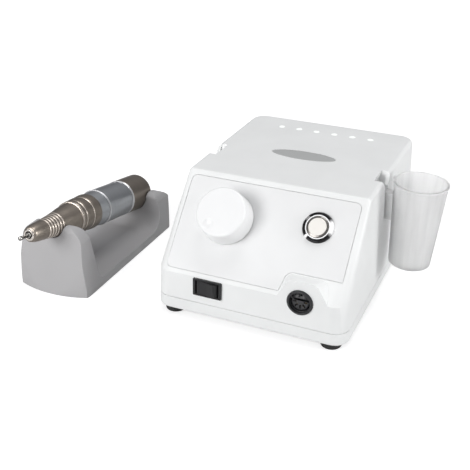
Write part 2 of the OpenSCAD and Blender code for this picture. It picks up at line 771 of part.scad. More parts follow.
// Electronics on the tray
board_z = floor_z + board_post_h;
cap_tall = 25;
can_r = 6.5;
can_count = 3;
sink_w = 40;
sink_d = 10;
sink_h = 28;
sink_fins = 7;
sink_fin_t = 1.4;
module control_board() {
    color("green") in_unit() difference() {
        translate([board_x, board_y, board_z]) slab(board_w, board_d, board_t);
        at_board_posts() translate([0, 0, board_z - over])
            cylinder(r = board_screw_r + run, h = board_t + 2 * over);
    }
}
module board_screws() {
    color("silver") in_unit() at_board_posts() {
        translate([0, 0, board_z + board_t]) cylinder(r = 2 * board_screw_r, h = board_t);
        translate([0, 0, board_z - board_post_h / 2])
            cylinder(r = board_screw_r, h = board_t + board_post_h / 2);
    }
}
module board_capacitors() {
    color("darkblue") in_unit() for (i = [0:can_count - 1])
        translate([board_x - board_w / 4, board_y - board_d / 4 + i * (2 * can_r + gap), board_z + board_t])
            cylinder(r = can_r, h = cap_tall);
}
module heat_sink() {
    color("silver") in_unit() translate([board_x + board_w / 6, board_y + board_d / 4, board_z + board_t]) {
        slab(sink_w, sink_fin_t * 2, sink_h);
        for (i = [0:sink_fins - 1])
            translate([(i / (sink_fins - 1) - 1 / 2) * (sink_w - sink_fin_t), sink_d / 2, 0])
                slab(sink_fin_t, sink_d, sink_h);
    }
}

// Mains transformer bolted to the tray
module transformer_core() {
    color("dimgray") in_unit() translate([core_x, core_y, floor_z]) difference() {
        union() {
            slab(core_w, core_d / 2, core_h);
            slab(core_w + 2 * core_tab, core_d / 2, core_foot);
        }
        for (sx = [-1, 1]) {
            translate([sx * core_w / 4.4, 0, core_h / 4]) slab(core_w / 6, core_d, core_h / 2);
            translate([sx * (core_w / 2 + core_tab / 2), 0, -over])
                cylinder(r = screw_r + run, h = core_foot + 2 * over);
        }
    }
}
module transformer_coil() {
    leg = core_w / 2.2 - core_w / 6;
    color("darkorange") in_unit() translate([core_x, core_y, floor_z + core_h / 4]) difference() {
        linear_extrude(height = core_h / 2)
            rounded_rect(core_w / 2.2 + core_w / 6 - 2 * gap, core_d, corner_r / 2);
        translate([0, 0, -over]) slab(leg + gap, core_d / 2 + gap, core_h);
    }
}
module transformer_bolts() {
    color("silver") in_unit() for (sx = [-1, 1])
        translate([core_x + sx * (core_w / 2 + core_tab / 2), core_y, 0]) {
        translate([0, 0, floor_z + core_foot]) cylinder(r = screw_head_r, h = screw_head_h);
        translate([0, 0, foot_h]) cylinder(r = screw_r, h = wall + core_foot);
    }
}

// Gland for the mains lead, and the foot pedal's jack, on the back wall
module cord_gland() {
    soft = gland_flange / 2;
    color("black") on_back(gland_x, gland_z) difference() {
        rotate_extrude() polygon([[0, -gland_in], [gland_r, -gland_in], [gland_r, 0],
            [gland_r + gland_flange, 0], [gland_r + gland_flange, gland_flange - soft],
            [gland_r + gland_flange - soft, gland_flange], [0, gland_flange]]);
        translate([0, 0, -gland_in - over])
            cylinder(r = gland_bore_r, h = gland_in + gland_flange + 2 * over);
    }
}
module pedal_jack() {
    color("dimgray") on_back(-jack_x, jack_z) difference() {
        union() {
            translate([0, 0, -wall]) cylinder(r = jack_r, h = wall + gland_flange);
            translate([0, 0, -wall - jack_l]) slab(jack_body_w, jack_body_w, jack_l);
        }
        translate([0, 0, -jack_l]) cylinder(r = jack_bore_r, h = jack_l + gland_flange + over);
    }
}
module pedal_jack_nut() {
    color("silver") on_back(-jack_x, jack_z) difference() {
        hexagon(jack_body_w, gland_flange * 0.8);
        translate([0, 0, -over]) cylinder(r = jack_r, h = gland_flange + 2 * over);
    }
}

// Clear cup with the hook that drops into either side of the unit
cup_bead = 0.8;
cup_top_z = unit_h;
hook_tall = 20;
hook_play = 0.3;
module on_cup() {
    translate([unit_x + cup_top_x, unit_y, cup_top_z]) rotate([0, cup_lean, 0]) translate([0, 0, -cup_h])
        children();
}
module bit_cup() {
    r_top = cup_rim_r - cup_bead;
    color("lightgray") {
        difference() {
            union() {
                on_cup() rotate_extrude() {
                    polygon([[0, 0], [cup_foot_r - cup_bead, 0], [cup_foot_r, cup_bead],
                        [r_top, cup_h - 2 * cup_bead], [cup_rim_r, cup_h - cup_bead], [cup_rim_r, cup_h],
                            [0, cup_h]]);
                }
                in_unit() {
                    translate([hook_back + hook_play, -hook_w / 2 + hook_play, hook_floor + hook_play])
                        cube([hook_d - hook_play + cup_gap + 2 * cup_wall, hook_w - 2 * hook_play,
                            hook_tall]);
                    translate([hook_back + hook_play, -hook_wide() / 2 + hook_play, hook_floor + hook_play])
                        cube([hook_d - hook_lip - 2 * hook_play, hook_wide() - 2 * hook_play, hook_tall]);
                }
            }
            on_cup() rotate_extrude() polygon([[0, 2 * cup_wall], [cup_foot_r - cup_wall, 2 * cup_wall],
                [r_top - cup_wall, cup_h], [r_top - cup_wall, cup_h + over], [0, cup_h + over]]);
        }
    }
}

// Places along the handpiece, measured back from the nose
nose_l = 50.6;
grip_end_z = 75.2;
lock_end_z = 121;
case_z = 123.3;
module on_handpiece(t) {
    translate([cradle_x, cradle_y - nose_ahead, nose_z]) rotate([-90 - handpiece_fall, 0, 0])
        translate([0, 0, t]) children();
}
function axis_z(y) = nose_z - (y + nose_ahead) * tan(handpiece_fall);

// Cradle: one soft-edged block, scooped out between two posts with saddles
cradle_draft = 5.6;
cradle_corner = 9;
cradle_bow_r = 75;
post_lean = 10;
front_post_l = 24;
front_horn = 5.2;
front_horn_r = 14.5;
rear_post_l = 20;
rear_horn_r = 9;
waist_r = 6;
waist_rear_r = 14;
post_soft = 5;
rear_soft = 14.5;
saddle_gap = 0.3;
saddle_flare = 12;
function arc(cx, cy, r, a0, a1, n) =
    [for (i = [0:n]) let(a = a0 + (a1 - a0) * i / n) [cx + r * cos(a), cy + r * sin(a)]];
module cradle_side() {
    front_top = front_post_h * tan(post_lean);
    back_foot = front_post_l;
    back_top = front_top + front_horn;
    lean_b = atan2(back_foot - back_top, front_post_h - waist_h);
    n = 8;
    polygon(concat([[0, 0]],
        arc(front_top + post_soft, front_post_h - post_soft, post_soft, 180 - post_lean, 90, n),
        arc(back_top, front_post_h - post_soft, post_soft, 90, lean_b, n),
        arc(back_foot + waist_r, waist_h + waist_r, waist_r, 180 + lean_b, 270, n),
        arc(cradle_l - rear_post_l - waist_rear_r, waist_h + waist_rear_r, waist_rear_r, 270, 360, n),
        arc(cradle_l - rear_post_l + post_soft, rear_post_h - post_soft, post_soft, 180, 90, n),
        arc(cradle_l - rear_soft, rear_post_h - rear_soft, rear_soft, 90, 0, n),
        [[cradle_l, 0]]));
}
// What is cut away to round the outer top corners of a post of height h
module horn_cut(h, r, l) {
    x = cradle_w / 2 - (h - r) * tan(cradle_draft) - 0.98 * r;
    rotate([90, 0, 0]) linear_extrude(height = l) both_sides()
        polygon(concat(arc(x, h - r, r, 0, 90, 8), [[x, front_post_h + over], [cradle_w, front_post_h + over],
            [cradle_w, h - r]]));
}
module saddle_profile(r) {
    wide = r + front_post_h * tan(saddle_flare);
    circle(r = r, $fn = hull_fn);
    polygon([[-r, 0], [r, 0], [wide, front_post_h], [-wide, front_post_h]]);
}
module cradle() {
    thin = 0.01 * waist_h;
    color("gray") difference() {
        translate([cradle_x, cradle_y, 0]) intersection() {
            translate([-cradle_w, 0, 0]) rotate([90, 0, 90]) linear_extrude(height = 2 * cradle_w)
                cradle_side();
            rotate([-90, 0, 0]) linear_extrude(height = cradle_l)
                polygon([[-cradle_w / 2, 0], [cradle_w / 2, 0],
                    [cradle_w / 2 - front_post_h * tan(cradle_draft), -front_post_h],
                    [-cradle_w / 2 + front_post_h * tan(cradle_draft), -front_post_h]]);
            linear_extrude(height = front_post_h) intersection() {
                translate([0, cradle_l / 2]) rounded_rect(cradle_w, cradle_l, cradle_corner);
                translate([0, cradle_bow_r]) circle(r = cradle_bow_r);
            }
        }
        translate([cradle_x, cradle_y, 0]) {
            translate([0, cradle_l / 2, 0]) horn_cut(front_post_h, front_horn_r, cradle_l);
            translate([0, cradle_l + over, 0]) horn_cut(rear_post_h, rear_horn_r, cradle_l / 2);
        }
        hull() for (t = [nose_ahead - over, nose_l + over]) on_handpiece(t) linear_extrude(height = thin)
            rotate([0, 0, 180]) saddle_profile(nose_r(t) + saddle_gap);
        on_handpiece(case_z - waist_r) linear_extrude(height = handpiece_l) rotate([0, 0, 180])
            saddle_profile(case_r + saddle_gap);
    }
}

// Handpiece shells
nose_tip_r = 4.2;
nose_mouth_r = 2.8;
nose_ring_t = 1;
groove_first_z = 15.8;
groove_pitch = 2.85;
groove_count = 6;
groove_d = 0.35;
groove_w = 1.1;
barrel_r = 11.2;
barrel_wall = 1.4;
barrel_end_z = 130;
// Nose radius against length: places along the nose, and shares of the radius at the nose's rear
nose_end_r = 11.8;
nose_place_shares = [0, 0.03, 0.08, 0.16, 0.26, 0.42, 0.56, 0.68, 0.79, 0.9, 1];
nose_radius_shares = [0.356, 0.44, 0.51, 0.565, 0.595, 0.655, 0.72, 0.79, 0.87, 0.94, 1];
function nose_r(t) = nose_end_r * lookup(t / nose_l,
    [for (i = [0:len(nose_place_shares) - 1]) [nose_place_shares[i], nose_radius_shares[i]]]);
function nose_outline() = [for (i = [0:len(nose_place_shares) - 1])
    [nose_end_r * nose_radius_shares[i], nose_l * nose_place_shares[i]]];
bearing_t = 5;
spindle_r = 3;
spindle_z = 3;
spindle_end_z = 82;
nose_bearing_r = 5.2;
nose_bearing_z = 10;
module nose_cone() {
    color("rosybrown") on_handpiece(0) difference() {
        rotate_extrude() polygon(concat([[0, nose_ring_t], [nose_tip_r, nose_ring_t]],
            [for (p = nose_outline()) if (p[1] > 2 * nose_ring_t) p], [[0, nose_l]]));
        for (i = [0:groove_count - 1]) translate([0, 0, groove_first_z + i * groove_pitch])
            tube(case_r, nose_r(groove_first_z + i * groove_pitch) - groove_d, groove_w);
        translate([0, 0, -over]) cylinder(r = nose_mouth_r, h = nose_l);
        translate([0, 0, nose_bearing_z]) cylinder(r = nose_bearing_r, h = nose_l);
        translate([0, 0, nose_l - barrel_in_l]) cylinder(r = barrel_r - barrel_wall, h = barrel_in_l + over);
    }
}
barrel_in_l = 8;
module nose_ring() {
    color("silver") on_handpiece(0) difference() {
        rotate_extrude() polygon([[0, 0], [nose_tip_r - nose_ring_t / 2, 0], [nose_tip_r, nose_ring_t / 2],
            [nose_tip_r, nose_ring_t], [0, nose_ring_t]]);
        translate([0, 0, -over]) cylinder(r = nose_mouth_r, h = nose_ring_t + 2 * over);
    }
}
rib_swell = 0.7;
// Ends of the front ring and of the ribs, as shares of the sleeve's length
rib_end_shares = [0.057, 0.22, 0.6, 0.985];
// One rib's form: places along it, and shares of its swell
rib_place_shares = [0, 0.06, 0.2, 0.45, 0.7, 0.9];
rib_form_shares = [0, 0.72, 0.92, 1, 0.88, 0.55];
module grip_sleeve() {
    l = grip_end_z - nose_l;
    grow = (case_r - nose_end_r) * 0.55;
    ring_l = rib_end_shares[0] * l;
    color("rosybrown") on_handpiece(nose_l) difference() {
        rotate_extrude() polygon(concat([[0, 0], [nose_end_r, 0], [nose_end_r + rib_swell / 2, ring_l / 4],
            [nose_end_r + rib_swell / 2, ring_l * 3 / 4]],
            [for (i = [0:len(rib_end_shares) - 2], k = [0:len(rib_place_shares) - 1])
                let(s0 = rib_end_shares[i], s = s0 + (rib_end_shares[i + 1] - s0) * rib_place_shares[k])
                [nose_end_r + grow * s + rib_swell * rib_form_shares[k], l * s]],
            [[nose_end_r + grow, l * rib_end_shares[3]], [nose_end_r + grow, l], [0, l]]));
        translate([0, 0, -over]) cylinder(r = barrel_r, h = l + 2 * over);
    }
}
module inner_barrel() {
    color("silver") on_handpiece(nose_l - barrel_in_l) difference() {
        union() {
            cylinder(r = barrel_r - barrel_wall, h = barrel_in_l);
            translate([0, 0, barrel_in_l]) cylinder(r = barrel_r, h = barrel_end_z - nose_l);
        }
        translate([0, 0, -over]) cylinder(r = barrel_r - 2 * barrel_wall, h = barrel_end_z);
    }
}
lock_front_l = 10.6;
trim_w = 1.2;
lock_gap = 0.3;
module lock_sleeve() {
    l = lock_end_z - grip_end_z - lock_gap;
    r0 = case_r - 1.3 * trim_w;
    color("lightslategray") on_handpiece(grip_end_z + lock_gap) difference() {
        rotate_extrude() polygon([[0, 0], [r0 - trim_w / 4, 0], [r0, trim_w / 4],
            [case_r - trim_w / 2, lock_front_l - trim_w],
            [case_r - trim_w, lock_front_l], [case_r - trim_w, lock_front_l + trim_w],
                [case_r - trim_w / 4, lock_front_l + trim_w],
            [case_r - trim_w / 4, l - trim_w / 4], [case_r - trim_w / 2, l], [0, l]]);
        translate([0, 0, -over]) cylinder(r = barrel_r + run, h = l + 2 * over);
    }
}
module lock_trim() {
    color("silver") on_handpiece(grip_end_z + lock_gap + lock_front_l) difference() {
        rotate_extrude() polygon([[0, 0], [case_r - trim_w / 3, 0], [case_r, trim_w / 3],
            [case_r, trim_w * 2 / 3],
            [case_r - trim_w / 3, trim_w], [0, trim_w]]);
        translate([0, 0, -over]) cylinder(r = case_r - trim_w, h = trim_w + 2 * over);
    }
}
module case_rings() {
    w = (case_z - lock_end_z - lock_gap) / 2;
    color("silver") on_handpiece(lock_end_z + lock_gap) difference() {
        rotate_extrude() for (i = [0, 1]) translate([0, i * w])
            polygon([[0, 0], [case_r - w / 3, 0], [case_r, w / 3], [case_r, w * 2 / 3],
                [case_r - w / 3, w], [0, w]]);
        translate([0, 0, -over]) cylinder(r = barrel_r, h = case_z);
    }
}
case_wall = 1.8;
cap_d = 5;
module motor_case() {
    l = handpiece_l - case_z;
    color("rosybrown") on_handpiece(case_z) difference() {
        rotate_extrude() polygon([[0, 0], [case_r, 0], [case_r, l - case_wall],
            [case_r - case_wall / 2, l], [0, l]]);
        translate([0, 0, -over]) cylinder(r = barrel_r, h = barrel_end_z - case_z + over);
        translate([0, 0, barrel_end_z - case_z - over]) cylinder(r = case_r - case_wall, h = l);
    }
}
lead_bore_r = 4.2;
lead_bore_l = 6;
module rear_cap() {
    r = case_r - case_wall;
    color("dimgray") on_handpiece(handpiece_l - cap_d) difference() {
        union() {
            cylinder(r = r, h = cap_d - case_wall / 2);
            cylinder(r = lead_bore_r + case_wall, h = cap_d);
        }
        translate([0, 0, cap_d - lead_bore_l + case_wall]) cylinder(r = lead_bore_r, h = lead_bore_l + over);
    }
}

// Bearings, motor and spindle
shaft_r = 1.5;
rear_bearing_z = 44;
motor_bearing_z = 88;
end_bearing_z = 141;
bearing_out = barrel_r - 2 * barrel_wall;
module bearings() {
    color("silver") {
        on_handpiece(nose_bearing_z) tube(nose_bearing_r, spindle_r + run, bearing_t);
        on_handpiece(rear_bearing_z) tube(bearing_out, spindle_r + run, bearing_t);
        on_handpiece(motor_bearing_z) tube(bearing_out, shaft_r + run, bearing_t);
        on_handpiece(end_bearing_z) tube(case_r - case_wall, shaft_r + run, bearing_t);
    }
}
magnet_z = 96;
magnet_l = 26;
magnet_in = 6.9;
magnet_span = 130;
module magnets() {
    color("black") on_handpiece(magnet_z) for (a = [0, 180]) rotate([0, 0, a - magnet_span / 2])
        rotate_extrude(angle = magnet_span) translate([magnet_in, 0])
            square([bearing_out - magnet_in, magnet_l]);
}
armature_r = 6.4;
commutator_r = 3.6;
commutator_z = 130.6;
commutator_l = 7;
brush_w = 2.4;
module carbon_brushes() {
    reach = case_r - case_wall - commutator_r - run;
    color("black") on_handpiece(commutator_z + commutator_l / 2) for (sx = [-1, 1])
        translate([sx * (commutator_r + run + reach / 2), 0, -brush_w / 2])
            slab(reach - gap, brush_w, brush_w);
}
collet_r = 2;
coupling_t = 4;
module spindle() {
    color("silver") on_handpiece(spindle_z) difference() {
        union() {
            cylinder(r = nose_mouth_r - gap, h = nose_bearing_z - spindle_z);
            translate([0, 0, nose_bearing_z - spindle_z])
                cylinder(r = spindle_r, h = spindle_end_z - nose_bearing_z);
        }
        translate([0, 0, -over]) cylinder(r = collet_r + run, h = spindle_end_z / 2);
    }
}
module drive_coupling() {
    r = bearing_out - 2 * gap - barrel_wall;
    color("saddlebrown") on_handpiece(spindle_end_z - coupling_t) difference() {
        cylinder(r = r, h = 2 * coupling_t);
        translate([0, 0, -over]) cylinder(r = spindle_r, h = coupling_t + over);
        translate([0, 0, coupling_t - over]) cylinder(r = shaft_r, h = coupling_t + 2 * over);
        for (a = [0:120:240]) rotate([0, 0, a]) translate([r, 0, coupling_t - slit_w / 2])
            slab(r, r / 3, slit_w);
    }
}
module motor_shaft() {
    color("silver") on_handpiece(spindle_end_z)
        cylinder(r = shaft_r, h = end_bearing_z + bearing_t - spindle_end_z);
}
armature_slots = 5;
module armature() {
    color("peru") on_handpiece(magnet_z) difference() {
        cylinder(r = armature_r, h = magnet_l);
        translate([0, 0, -over]) cylinder(r = shaft_r, h = magnet_l + 2 * over);
        for (i = [0:armature_slots - 1]) rotate([0, 0, i * 360 / armature_slots])
            translate([armature_r - run, 0, -over]) slab(armature_r * 0.7, slit_w, magnet_l + 2 * over);
    }
}
module commutator() {
    color("gold") on_handpiece(commutator_z) tube(commutator_r, shaft_r, commutator_l);
}
collet_l = 20;
collet_out = 1;
module collet() {
    color("gray") on_handpiece(-collet_out) difference() {
        rotate_extrude() polygon([[0, 0], [collet_r - slit_w / 3, 0], [collet_r, slit_w / 2],
            [collet_r, collet_l], [0, collet_l]]);
        translate([0, 0, -over]) cylinder(r = bit_r + run, h = collet_l + 2 * over);
        for (a = [0:120:240]) rotate([0, 0, a + 90]) translate([collet_r, 0, -over])
            slab(2 * (collet_r - bit_r), slit_w / 3, collet_l / 2);
    }
}
bit_in_l = 18;
bit_head_r = 1.5;
bit_head_l = 3.4;
module drill_bit() {
    color("darkgray") on_handpiece(-bit_out) rotate_extrude() polygon([[0, 0], [bit_head_r * 0.7, 0],
        [bit_head_r, bit_head_r * 0.3], [bit_head_r, bit_head_l - bit_head_r / 4], [bit_r, bit_head_l],
        [bit_r, bit_out + bit_in_l], [0, bit_out + bit_in_l]]);
}

upper_housing();
base_tray();
control_panel();
rubber_feet();
housing_screws();
badge_plate();
indicator_lenses();
indicator_board();
indicator_leds();
indicator_screws();
speed_knob();
potentiometer();
potentiometer_shaft();
potentiometer_nut();
button_bezel();
button_light_ring();
button_plunger();
button_cap();
button_nut();
button_switch();
rocker_frame();
rocker();
rocker_terminals();
socket_shell();
socket_insert();
socket_contacts();
socket_nut();
control_board();
board_screws();
board_capacitors();
heat_sink();
transformer_core();
transformer_coil();
transformer_bolts();
cord_gland();
pedal_jack();
pedal_jack_nut();
bit_cup();
cradle();
nose_cone();
nose_ring();
grip_sleeve();
inner_barrel();
lock_sleeve();
lock_trim();
case_rings();
motor_case();
rear_cap();
bearings();
magnets();
carbon_brushes();
spindle();
drive_coupling();
motor_shaft();
armature();
commutator();
collet();
drill_bit();
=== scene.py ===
import json
import math

import bmesh
import bpy
from mathutils import Matrix, Vector


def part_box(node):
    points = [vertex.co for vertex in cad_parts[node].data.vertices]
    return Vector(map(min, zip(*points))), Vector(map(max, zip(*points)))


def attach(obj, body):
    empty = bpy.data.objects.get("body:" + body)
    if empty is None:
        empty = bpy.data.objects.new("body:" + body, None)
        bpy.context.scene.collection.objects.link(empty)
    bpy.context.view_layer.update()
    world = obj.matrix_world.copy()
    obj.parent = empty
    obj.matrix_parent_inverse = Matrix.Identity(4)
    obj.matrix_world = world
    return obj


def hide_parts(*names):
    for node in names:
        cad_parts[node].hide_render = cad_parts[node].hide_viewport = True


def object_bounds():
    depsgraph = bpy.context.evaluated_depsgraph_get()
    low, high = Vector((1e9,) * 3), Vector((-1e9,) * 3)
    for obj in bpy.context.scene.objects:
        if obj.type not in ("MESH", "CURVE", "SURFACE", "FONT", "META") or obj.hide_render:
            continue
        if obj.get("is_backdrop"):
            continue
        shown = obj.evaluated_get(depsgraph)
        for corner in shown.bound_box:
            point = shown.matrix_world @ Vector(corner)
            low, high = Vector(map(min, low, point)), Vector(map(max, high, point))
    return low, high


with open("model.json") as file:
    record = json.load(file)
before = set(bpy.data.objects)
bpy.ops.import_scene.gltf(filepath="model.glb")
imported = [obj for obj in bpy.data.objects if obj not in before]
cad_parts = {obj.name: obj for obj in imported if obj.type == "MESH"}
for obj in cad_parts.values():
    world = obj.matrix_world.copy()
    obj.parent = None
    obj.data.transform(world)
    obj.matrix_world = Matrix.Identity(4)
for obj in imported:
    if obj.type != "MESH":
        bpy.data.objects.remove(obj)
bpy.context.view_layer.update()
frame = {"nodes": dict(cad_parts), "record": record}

# Upper housing: the white box with the sloped front. Injection-moulded ABS with a fine satin
# grain, in one piece with the raised seat round the round socket and the two hook pockets.


class Wire:
    """One output in a material's nodes. Arithmetic on it adds Math nodes."""

    def __init__(self, tree, socket):
        self.tree = tree
        self.socket = socket

    def node(self, kind, settings=None, inputs=None, output=0):
        made = self.tree.nodes.new(kind if "Node" in kind else "ShaderNode" + kind)
        for name, value in (settings or {}).items():
            if name == "stops":
                stops = made.color_ramp.elements
                while len(stops) < len(value):
                    stops.new(0.5)
                for stop, (place, colour) in zip(stops, value):
                    stop.position = place
                    stop.color = colour
            else:
                setattr(made, name, value)
        for name, value in (inputs or {}).items():
            if isinstance(value, Wire):
                self.tree.links.new(value.socket, made.inputs[name])
            else:
                made.inputs[name].default_value = value
        return Wire(self.tree, made.outputs[output])

    def maths(self, operation, *values):
        return self.node("Math", {"operation": operation}, dict(enumerate(values)))

    def vector(self, operation, *values, output=0):
        return self.node("VectorMath", {"operation": operation}, dict(enumerate(values)), output)

    def __add__(self, other):
        return self.maths("ADD", self, other)

    __radd__ = __add__

    def __sub__(self, other):
        return self.maths("SUBTRACT", self, other)

    def __rsub__(self, other):
        return self.maths("SUBTRACT", other, self)

    def __mul__(self, other):
        return self.maths("MULTIPLY", self, other)

    __rmul__ = __mul__

    def __truediv__(self, other):
        return self.maths("DIVIDE", self, other)

    def __rtruediv__(self, other):
        return self.maths("DIVIDE", other, self)

    def between(self, low, high, first=0.0, last=1.0):
        sizes = {"From Min": low, "From Max": high, "To Min": first, "To Max": last}
        return self.node("MapRange", {"clamp": True}, {"Value": self, **sizes})

    def stripe(self, centre, width, soft=0.3):
        """1 on a band round centre and 0 off it, its edges soft by a share of half its width."""
        off = self - centre
        off = off.maths("ABSOLUTE", off)
        return off.between(width / 2 * (1 - soft), width / 2 * (1 + soft), 1.0, 0.0)

    def mixed(self, first, second):
        return self.node(
            "Mix", {"data_type": "RGBA"}, {0: self, 6: first, 7: second}, output=2
        )

    def noise(self, size, detail=2.0, stretch=(1, 1, 1)):
        spread = self.node("Mapping", {}, {"Vector": self, "Scale": stretch})
        return spread.node(
            "TexNoise", {}, {"Vector": spread, "Scale": 1 / size, "Detail": detail}
        )

    def bump(self, height, depth, strength=1.0):
        return self.node(
            "Bump", {}, {"Height": height, "Distance": depth, "Strength": strength}
        )


def finish(name, colour, roughness, metallic=0.0, **fixed):
    """A material with a Principled shader, and the wire of the piece's own coordinates."""
    material = bpy.data.materials.new(name)
    material.use_nodes = True
    tree = material.node_tree
    shader = tree.nodes["Principled BSDF"]
    shader.inputs["Base Color"].default_value = (*colour, 1)
    shader.inputs["Roughness"].default_value = roughness
    shader.inputs["Metallic"].default_value = metallic
    for socket, value in fixed.items():
        shader.inputs[socket.replace("_", " ")].default_value = value
    place = Wire(tree, tree.nodes.new("ShaderNodeTexCoord").outputs["Object"])
    return material, shader, place


def feed(shader, **wires):
    for socket, wire in wires.items():
        wire.tree.links.new(wire.socket, shader.inputs[socket.replace("_", " ")])


def moulded(name, colour, roughness, grain_size=0.0005, grain_depth=0.00001, **fixed):
    """Moulded plastic: a fine grain, and a sheen that varies a little over the piece."""
    patch_size, darker, sheen_change = 0.03, 0.97, 0.16
    material, shader, place = finish(name, colour, roughness, **fixed)
    patches = place.noise(patch_size, 3.0)
    grain = place.noise(grain_size)
    shade = tuple(c * darker for c in colour)
    feed(
        shader,
        Base_Color=patches.between(0.35, 0.65).mixed((*shade, 1), (*colour, 1)),
        Roughness=roughness * (1 - sheen_change / 2) + patches * (roughness * sheen_change),
        Normal=place.bump(grain, grain_depth, 0.6),
    )
    return material


def smooth(mesh, degrees=28):
    for face in mesh.polygons:
        face.use_smooth = True
    mesh.set_sharp_from_angle(angle=math.radians(degrees))


def soften(piece, width, degrees=32, segments=2):
    """A small radius on the moulding's edges."""
    bevel = piece.modifiers.new("edge_radius", "BEVEL")
    bevel.width = width
    bevel.segments = segments
    bevel.limit_method = "ANGLE"
    bevel.angle_limit = math.radians(degrees)
    bevel.use_clamp_overlap = True
    bevel.miter_outer = "MITER_ARC"
    weighted = piece.modifiers.new("flat_faces", "WEIGHTED_NORMAL")
    weighted.keep_sharp = False


def body_of_node(node):
    for body, nodes in frame["record"]["behaviour"]["bodies"].items():
        if node in nodes:
            return body


def slot_of_node(node):
    for part in frame["record"]["subparts"]:
        if part["node"] == node:
            return part["material_slot"]


def settle(piece, material, *nodes, body=None):
    """Gives a piece its material and its body, and hides the CAD nodes that it stands for."""
    piece.data.materials.clear()
    piece.data.materials.append(material)
    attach(piece, body or body_of_node(nodes[0]))
    if nodes:
        slot_of_node(nodes[0])
        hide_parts(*nodes)


weld = 0.000002
flat_enough = math.radians(0.4)


def refined(node, material, edge=0.0, degrees=28):
    """A copy of a solid with its loose triangles joined, smooth faces and softened edges."""
    mesh = frame["nodes"][node].data.copy()
    mesh.materials.clear()
    work = bmesh.new()
    work.from_mesh(mesh)
    bmesh.ops.remove_doubles(work, verts=work.verts, dist=weld)
    if edge:
        bmesh.ops.dissolve_limit(
            work, angle_limit=flat_enough, verts=work.verts, edges=work.edges
        )
    work.to_mesh(mesh)
    work.free()
    piece = bpy.data.objects.new(node + "_piece", mesh)
    bpy.context.scene.collection.objects.link(piece)
    smooth(mesh, degrees)
    if edge:
        soften(piece, edge)
    settle(piece, material, node)


white_abs = moulded("white_abs", (0.83, 0.84, 0.835), 0.36, Specular_IOR_Level=0.45)
refined("upper_housing", white_abs, edge=0.0006)

# Base tray: the same white ABS, screwed on from below, with six vent slots.
# It closes on a stepped lip, which leaves the fine seam line round the box.
refined("base_tray", white_abs, edge=0.0004)

# Tray screws: four zinc-plated pan heads with a cross recess, driven up into the
# housing's bosses from the recesses under the tray.


def grown(name, sizes, build, material):
    """Runs a Geometry Nodes build with named sizes, and keeps its plain mesh."""
    tree = bpy.data.node_groups.new(name, "GeometryNodeTree")
    tree.interface.new_socket(
        "Geometry", in_out="OUTPUT", socket_type="NodeSocketGeometry"
    )
    for label, value in sizes.items():
        kind = "NodeSocketInt" if isinstance(value, int) else "NodeSocketFloat"
        tree.interface.new_socket(label, in_out="INPUT", socket_type=kind)
    given = tree.nodes.new("NodeGroupInput")
    shape = build({label: Wire(tree, given.outputs[label]) for label in sizes})
    shape = shape.node("GeometryNodeRealizeInstances", {}, {"Geometry": shape})
    shape = shape.node(
        "GeometryNodeSetMaterial", {}, {"Geometry": shape, "Material": material}
    )
    tree.links.new(shape.socket, tree.nodes.new("NodeGroupOutput").inputs["Geometry"])
    piece = bpy.data.objects.new(name, bpy.data.meshes.new(name))
    bpy.context.scene.collection.objects.link(piece)
    grow = piece.modifiers.new("grow", "NODES")
    grow.node_group = tree
    for item in tree.interface.items_tree:
        if item.in_out == "INPUT":
            grow[item.identifier] = sizes[item.name]
    bpy.context.view_layer.update()
    graph = bpy.context.evaluated_depsgraph_get()
    mesh = bpy.data.meshes.new_from_object(piece.evaluated_get(graph))
    piece.modifiers.remove(grow)
    work = bmesh.new()
    work.from_mesh(mesh)
    bmesh.ops.remove_doubles(work, verts=work.verts, dist=weld)
    bmesh.ops.recalc_face_normals(work, faces=work.faces)
    work.to_mesh(mesh)
    work.free()
    piece.data = mesh
    return piece


def joined(*shapes):
    join = shapes[0].node("GeometryNodeJoinGeometry")
    for shape in shapes:
        join.tree.links.new(shape.socket, join.socket.node.inputs["Geometry"])
    return join


def triple(x=0.0, y=0.0, z=0.0):
    """Three lengths, at least one of them wired, as one vector."""
    wired = next(v for v in (x, y, z) if isinstance(v, Wire))
    return wired.node("CombineXYZ", {}, {"X": x, "Y": y, "Z": z})


def screw_set(size):
    """A pan head with a cross recess below and a shank above, on a two by two grid."""
    tall, deep = size["Head Height"], size["Recess Depth"]

    def round_bar(radius, length, z):
        bar = radius.node(
            "GeometryNodeMeshCylinder",
            {"fill_type": "NGON"},
            {"Vertices": 48, "Radius": radius, "Depth": length},
        )
        return bar.node(
            "GeometryNodeTransform", {}, {"Geometry": bar, "Translation": triple(z=z)}
        )

    def slot_bar(x, y):
        return deep.node("GeometryNodeMeshCube", {}, {"Size": triple(x, y, deep * 2)})

    head = round_bar(size["Head Radius"], tall, tall * 0.5)
    cross = joined(
        slot_bar(size["Recess Length"], size["Recess Width"]),
        slot_bar(size["Recess Width"], size["Recess Length"]),
    )
    head = head.node(
        "GeometryNodeMeshBoolean",
        {"operation": "DIFFERENCE"},
        {"Mesh 1": head, "Mesh 2": cross},
    )
    long = size["Length"]
    shank = round_bar(size["Shank Radius"], long - tall, (long + tall) * 0.5)
    grid = head.node(
        "GeometryNodeMeshGrid",
        {},
        {"Size X": size["Across"], "Size Y": size["Along"], "Vertices X": 2, "Vertices Y": 2},
    )
    return grid.node(
        "GeometryNodeInstanceOnPoints", {}, {"Points": grid, "Instance": joined(head, shank)}
    )


